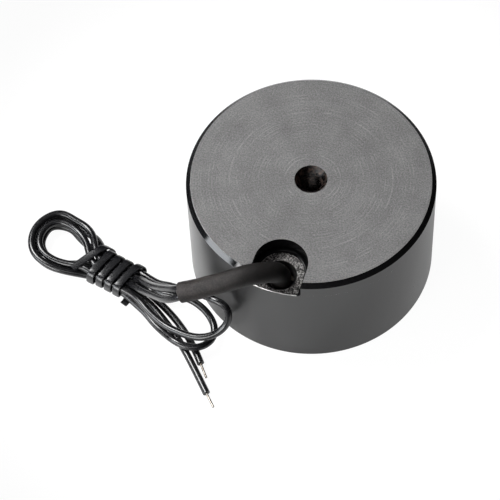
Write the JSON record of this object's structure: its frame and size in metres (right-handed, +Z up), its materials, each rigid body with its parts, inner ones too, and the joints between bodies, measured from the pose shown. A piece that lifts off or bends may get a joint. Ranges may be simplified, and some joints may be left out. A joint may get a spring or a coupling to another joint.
{
  "type": "holding electromagnet",
  "caption": "Round pot electromagnet with a threaded fixing hole in its flat back, a cable slot at the rim, and two thin leads folded into a tied hank.",
  "frame": {"origin": "middle of the flat pole face, on the surface that the magnet stands on", "axes": "+Z up through the fixing hole in the back face, -Y towards the open end of the cable slot; the hank of leads lies to -X and -Y"},
  "size_m": [0.0822, 0.0667, 0.0306],
  "materials": {
    "blackened_steel": "semi-gloss black side, bare turned back face",
    "nylon": "moulded, matt",
    "enamelled_copper": "enamelled wire",
    "polyester_tape": "smooth film",
    "epoxy_resin": "cast, satin",
    "heat_shrink": "matt, slightly brown",
    "lead_insulation": "glossy",
    "splice_tube": "woven tube",
    "tinned_copper": "tinned",
    "tie_plastic": "satin to glossy"
  },
  "bodies": {
    "root": {"housing": "blackened_steel", "coil_bobbin": "nylon", "coil_winding": "enamelled_copper", "winding_tape": "polyester_tape", "potting_resin": "epoxy_resin", "splice_sleeve_1": "splice_tube", "winding_end_1": "enamelled_copper", "splice_sleeve_2": "splice_tube", "winding_end_2": "enamelled_copper", "lead_1": "lead_insulation", "lead_1_conductor": "tinned_copper", "lead_2": "lead_insulation", "lead_2_conductor": "tinned_copper", "heat_shrink_sleeve": "heat_shrink", "wire_tie": "tie_plastic"}
  },
  "joints": []
}
